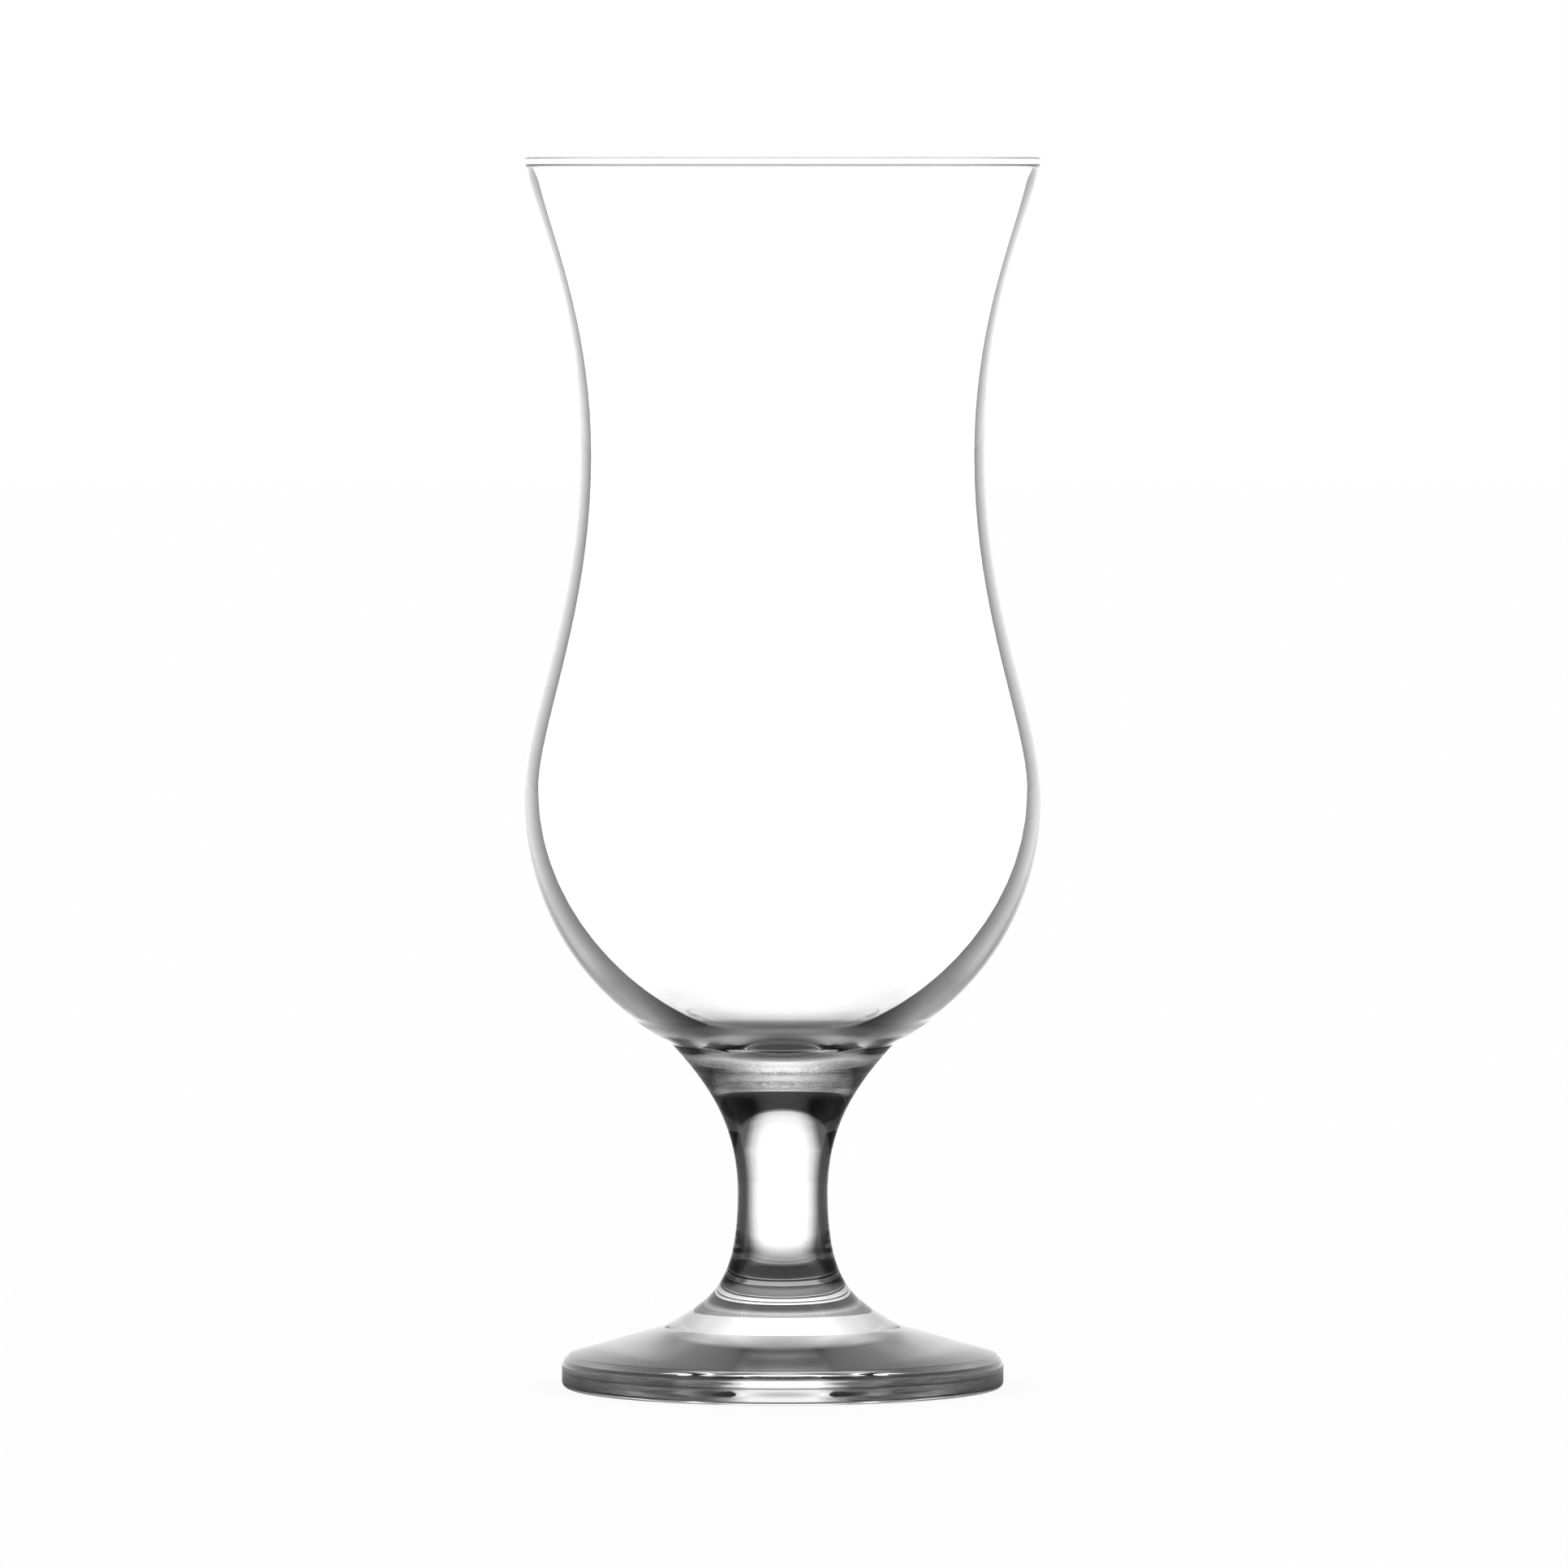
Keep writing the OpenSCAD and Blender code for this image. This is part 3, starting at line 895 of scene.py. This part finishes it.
# %% [markdown]
# ## Turning the three gathers
# Each gather is turned as one closed solid. Which glass a face gets is decided by its height
# above the gather's base in millimetres, by how far it looks up, from -1 to 1, and by whether
# it looks away from the axis.

# %% Which face gets which glass
# Limits for how far a face looks up, and heights in millimetres
FLAT_UP, FLAT_GAP = 0.999, 0.001
FLOOR_UP, EDGE_UP, SLOPE_UP = 0.3, 0.5, 0.9
CREASE_BAND = 5
SHOULDER_LEVEL = 8.0


def flat_at(height, up, level):
    """Whether a face is part of the flat, fused disc at this level."""
    return abs(up) > FLAT_UP and abs(height - level) < FLAT_GAP


def bowl_finish(height, up, outwards):
    if flat_at(height, up, 0):
        return "joint"
    if outwards and height < CREASE_H:
        return "base"
    if height > BOWL_H - NECK_DROP:
        return "rim"
    if not outwards or (up > FLOOR_UP and height < BELLY_H):
        return "inside"
    return "crease" if height < CREASE_H + CREASE_BAND else "outside"


def stem_finish(height, up, outwards):
    if flat_at(height, up, STEM_H):
        return "seam"
    return "joint" if flat_at(height, up, 0) else "side"


def foot_finish(height, up, outwards):
    if flat_at(height, up, FOOT_H):
        return "joint"
    if abs(up) < EDGE_UP:
        return "edge"
    if up > SLOPE_UP:
        return "slope"
    return "shoulder" if up > 0 and height > SHOULDER_LEVEL else "plain"


print("the rim's glass starts", round(BOWL_H - NECK_DROP, 2), "mm above the bowl's base")


# %% The three pieces
BOWL_GLASSES = {"outside": bowl_glass, "joint": joint_glass, "inside": bowl_inside_glass,
                "base": base_glass, "rim": rim_glass, "crease": crease_glass}
STEM_GLASSES = {"side": stem_glass, "joint": joint_glass, "seam": seam_glass}
FOOT_GLASSES = {"plain": foot_glass, "joint": joint_glass, "slope": slope_glass,
                "edge": edge_glass, "shoulder": shoulder_glass}
bowl = lathe("glass_bowl", bowl_outline(), BOWL_BASE, BOWL_GLASSES, bowl_finish)
stem = lathe("glass_stem", stem_outline(), FOOT_H, STEM_GLASSES, stem_finish)
foot = lathe("glass_foot", foot_outline(), 0, FOOT_GLASSES, foot_finish)
for piece, node in ((bowl, "bowl"), (stem, "stem"), (foot, "foot")):
    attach(piece, "root")
    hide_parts(node)

# %% [markdown]
# ## The studio
# Clear glass is drawn by what stands around it. Here a bright wall stands all round at the
# height of the glass, the ceiling is dark, and the table is pale. Light Path tells the kinds
# of ray apart: the camera and matt surfaces see plain white, and light that comes through the
# glass sees the wall and the dark above it.

# %% World
WALL_STRENGTH = 1.3
WALL_TONES = [(-90, 1), (15, 1), (24, 0.88), (28, 0.82), (33, 0.8), (36, 0.76), (41, 0.68),
              (46, 0.6), (50, 0.48), (54, 0.36), (60, 0.32), (90, 0.3)]


def wall_light(tree):
    """The studio's brightness in each direction, by the angle above the level in degrees."""
    way = add(tree, "ShaderNodeTexCoord").outputs["Generated"]
    up = add(tree, "ShaderNodeSeparateXYZ", inputs={"Vector": way}).outputs["Z"]
    rise = add(tree, "ShaderNodeMapRange", None, {"Value": up, "From Min": -1.0}).outputs["Result"]
    stops = [((1 + math.sin(math.radians(angle))) / 2, level) for angle, level in WALL_TONES]
    return add(tree, "ShaderNodeValToRGB", None, {"Fac": rise}, stops).outputs["Color"]


world = bpy.data.worlds.new("studio")
bpy.context.scene.world = world
world.use_nodes = True
studio = world.node_tree
studio.nodes.clear()
path = add(studio, "ShaderNodeLightPath").outputs
plain = add(studio, "ShaderNodeMath", {"operation": "MAXIMUM"},
            {0: path["Is Camera Ray"], 1: path["Is Diffuse Ray"]}).outputs[0]
colour = add(studio, "ShaderNodeMix", {"data_type": "RGBA"},
             {MIX_SHARE: plain, MIX_A: wall_light(studio), MIX_B: WHITE}).outputs[MIX_RESULT]
strength = add(studio, "ShaderNodeMapRange", None, {
    "Value": plain, "To Min": WALL_STRENGTH}).outputs["Result"]
light = add(studio, "ShaderNodeBackground", inputs={"Color": colour, "Strength": strength}).outputs[0]
add(studio, "ShaderNodeOutputWorld", inputs={"Surface": light})
print("the studio is lit by its wall alone")

# %% [markdown]
# ## The table
# A pale matt table carries the glass. Most of its light is a plain glow, which keeps it even
# around the glass, and the rest is a matt surface that takes the faint shadow. The foot shades
# the table under and beside it, so as seen through the glass it is darker close to the foot.
# That shading follows the distance from the middle, in metres.

# %% Table
TABLE_SIDE = 12.0
TABLE_STRENGTH = 1.5
GLOW_SHARE = 0.9
SHADE_END = 0.1
SHADE_TONES = [(0, 0.06), (0.34, 0.08), (0.42, 0.17), (0.5, 0.26), (0.58, 0.42), (0.65, 0.57),
               (0.75, 0.75), (0.85, 0.95), (1, 1)]


def table_top():
    """Pale matt laminate: no mirror at all, so the glass has nothing bright to stand in."""
    material, tree = blank("pale_table_top")
    place = add(tree, "ShaderNodeTexCoord").outputs["Object"]
    away = add(tree, "ShaderNodeVectorMath", {"operation": "LENGTH"}, {0: place}).outputs["Value"]
    share = add(tree, "ShaderNodeMapRange", None, {
        "Value": away, "From Max": SHADE_END}).outputs["Result"]
    shade = add(tree, "ShaderNodeValToRGB", None, {"Fac": share}, SHADE_TONES).outputs["Color"]
    seen = add(tree, "ShaderNodeLightPath").outputs["Is Camera Ray"]
    colour = add(tree, "ShaderNodeMix", {"data_type": "RGBA"},
                 {MIX_SHARE: seen, MIX_A: shade, MIX_B: WHITE}).outputs[MIX_RESULT]
    strength = add(tree, "ShaderNodeMapRange", None, {
        "Value": seen, "To Min": TABLE_STRENGTH}).outputs["Result"]
    glow = add(tree, "ShaderNodeEmission", inputs={"Color": colour, "Strength": strength}).outputs[0]
    matt = add(tree, "ShaderNodeBsdfDiffuse", inputs={"Color": linear("#F4F4F4")}).outputs[0]
    cover = add(tree, "ShaderNodeMixShader", inputs={0: GLOW_SHARE, 1: matt, 2: glow}).outputs[0]
    add(tree, "ShaderNodeOutputMaterial", inputs={"Surface": cover})
    return material


floor_shape = bmesh.new()
bmesh.ops.create_grid(floor_shape, x_segments=1, y_segments=1, size=TABLE_SIDE / 2)
floor_mesh = bpy.data.meshes.new("table_top")
floor_shape.to_mesh(floor_mesh)
floor_shape.free()
floor_mesh.materials.append(table_top())
floor = bpy.data.objects.new("table_top", floor_mesh)
bpy.context.scene.collection.objects.link(floor)
print("the table top is", TABLE_SIDE, "m wide")

# %% [markdown]
# ## The camera
# A long lens from two metres away, at the height of the rim, keeps the ovals of the rim and
# the foot as flat as in a product picture. It is aimed at the middle of the glass.

# %% Camera
LENS_LENGTH, SENSOR_WIDTH = 320.6, 36
CAMERA_SIDE, CAMERA_DISTANCE, CAMERA_HEIGHT, AIM_HEIGHT = 0.0002, 2.154, 0.1895, 0.0933
FAR_LIMIT = 50
tilt = math.atan((CAMERA_HEIGHT - AIM_HEIGHT) / CAMERA_DISTANCE)
camera_data = bpy.data.cameras.new("camera")
camera_data.lens = LENS_LENGTH
camera_data.sensor_width = SENSOR_WIDTH
camera_data.clip_end = FAR_LIMIT
camera = bpy.data.objects.new("camera", camera_data)
camera.location = (CAMERA_SIDE, -CAMERA_DISTANCE, CAMERA_HEIGHT)
camera.rotation_euler = (math.radians(90) - tilt, 0, 0)
bpy.context.scene.collection.objects.link(camera)
bpy.context.scene.camera = camera
bpy.context.scene.view_settings.view_transform = "Standard"
print("the camera looks down by", round(math.degrees(tilt), 2), "degrees")
